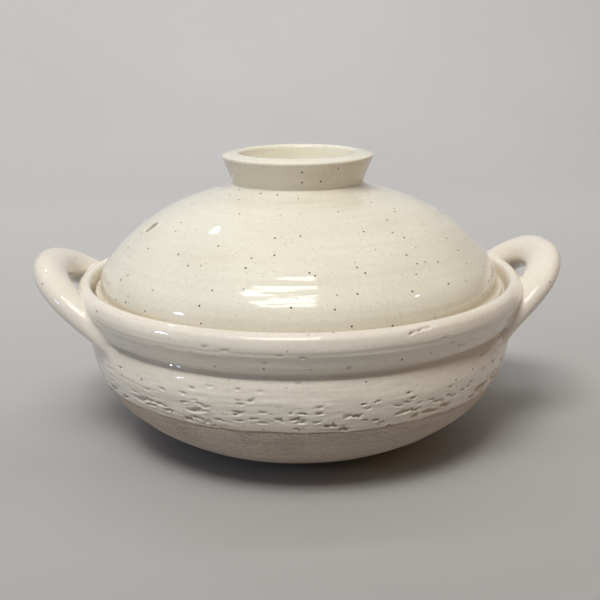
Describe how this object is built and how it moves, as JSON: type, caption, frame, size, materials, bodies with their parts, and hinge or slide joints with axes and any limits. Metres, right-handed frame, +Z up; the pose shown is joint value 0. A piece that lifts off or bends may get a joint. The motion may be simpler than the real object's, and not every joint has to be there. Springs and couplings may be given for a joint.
{
  "type": "lidded clay casserole",
  "caption": "Round-bellied glazed clay cooking pot with a rolled rim, coil loop handles, and a lift-off domed lid with ring knob and steam vent.",
  "frame": {"origin": "centre of the foot ring, on the surface the pot stands on", "axes": "+Z up along the axis of the pot, +X towards the right handle, -Y towards the viewer; the steam vent is on the -X side, 14 degrees towards -Y"},
  "size_m": [0.34, 0.285, 0.1826],
  "materials": {
    "bowl_glaze": "glossy cream glaze over throwing marks, bare rough clay low on the belly and under the foot",
    "handle_glaze": "glossy cream glaze, smooth",
    "lid_glaze": "glossy off-white glaze with small iron specks over throwing rings"
  },
  "bodies": {
    "pot": {"bowl": "bowl_glaze", "left_handle": "handle_glaze", "right_handle": "handle_glaze"},
    "cover": {"lid": "lid_glaze", "lid_knob": "lid_glaze"}
  },
  "joints": [
    {"name": "lid_lift", "type": "slide", "parent": "pot", "child": "cover", "axis": [0, 0, 1], "range_m": [0, 0.12]}
  ]
}
